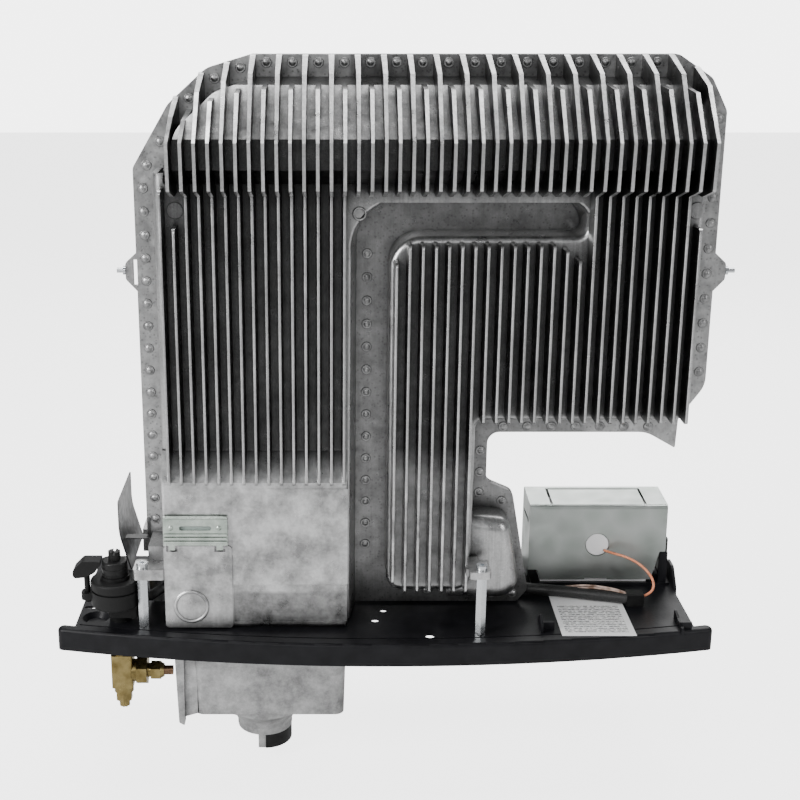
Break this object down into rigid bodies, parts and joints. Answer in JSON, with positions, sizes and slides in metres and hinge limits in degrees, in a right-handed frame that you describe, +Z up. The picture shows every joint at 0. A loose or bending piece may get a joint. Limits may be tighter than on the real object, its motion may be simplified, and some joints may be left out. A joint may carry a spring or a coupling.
{
  "type": "gas heater heat exchanger",
  "caption": "Finned cast heat exchanger core of a gas space heater on a bowed base plate, with burner leg, gas valve, igniter box, air intake and flue outlet.",
  "frame": {"origin": "under the middle of the base plate on the plane of its rim, with the casting flange's front face at Y = 0", "axes": "+X along the casing towards the igniter box, +Y from front to back, +Z up"},
  "size_m": [0.55, 0.184, 0.5917],
  "materials": {
    "cast_aluminium": "as cast, greyed",
    "cast_aluminium_pale": "as cast, matt",
    "pin_aluminium": "pressed heads",
    "fibre_seal": "graphited fibre",
    "black_enamel": "semi-gloss black enamel",
    "zinc_steel": "bright zinc",
    "stainless_steel": "satin",
    "dark_steel": "blackened",
    "brass": "machined",
    "copper_sheath": "drawn tube",
    "white_ceramic": "glazed",
    "sight_glass": "polished",
    "zinc_sheet": "galvanised sheet",
    "black_cast": "matt black",
    "black_plastic": "moulded",
    "white_plastic": "moulded",
    "battery_sleeve": "plain printed sleeve",
    "orange_silicone": "silicone",
    "black_sleeving": "braided sleeve",
    "wire_insulation": "insulated wire",
    "black_rubber": "moulded",
    "label_film": "satin film"
  },
  "bodies": {
    "heater_core": {"base_plate": "black_enamel", "burner_base": "stainless_steel", "burner_bracket": "stainless_steel", "burner_tube": "stainless_steel", "cable_sleeve": "black_sleeving", "cable_wires": "wire_insulation", "clinch_pins": "pin_aluminium", "cowl_hood": "black_plastic", "electrode_ceramic": "white_ceramic", "electrode_wire": "stainless_steel", "flue_screws": "zinc_steel", "flue_seal": "fibre_seal", "flue_socket": "stainless_steel", "front_shell": "cast_aluminium", "gas_injector": "brass", "gas_pipe": "dark_steel", "gas_pipe_nut": "brass", "heat_shield": "zinc_sheet", "igniter_battery": "battery_sleeve", "igniter_bracket": "black_enamel", "igniter_connector": "black_plastic", "igniter_cover": "zinc_sheet", "igniter_lead": "orange_silicone", "igniter_module": "white_plastic", "inlet_fitting": "brass", "inlet_nut": "brass", "inlet_pipe": "copper_sheath", "intake_cowl": "cast_aluminium_pale", "intake_housing": "cast_aluminium_pale", "intake_screws": "zinc_steel", "intake_seal": "fibre_seal", "rating_label": "label_film", "rear_shell": "cast_aluminium", "shell_seal": "fibre_seal", "side_stud_left": "zinc_steel", "side_stud_right": "zinc_steel", "sleeve_grommet": "black_rubber", "standoff_posts": "zinc_steel", "standoff_screws": "zinc_steel", "test_plug": "brass", "thermocouple": "copper_sheath", "valve_body": "black_cast", "valve_bonnet": "black_plastic", "valve_clip": "dark_steel", "valve_spring": "stainless_steel", "window_glass": "sight_glass"},
    "pressed_stem": {"valve_stem": "brass"},
    "turning_coupling": {"valve_coupling": "black_plastic"},
    "sight_clip": {"window_clip": "zinc_sheet"}
  },
  "joints": [
    {"name": "valve_press", "type": "slide", "parent": "heater_core", "child": "pressed_stem", "axis": [0, 0, -1], "range_m": [0, 0.004], "stiffness_N_per_m": 1200, "springref_m": -0.003},
    {"name": "valve_turn", "type": "hinge", "parent": "pressed_stem", "child": "turning_coupling", "pos_m": [-0.224, -0.036, 0.07], "axis": [0, 0, 1], "range_deg": [0, 250]},
    {"name": "sight_clip_swing", "type": "hinge", "parent": "heater_core", "child": "sight_clip", "pos_m": [-0.155, -0.0516, 0.0924], "axis": [1, 0, 0], "range_deg": [0, 70], "stiffness_Nm_per_rad": 0.05, "springref_deg": -17.19}
  ]
}
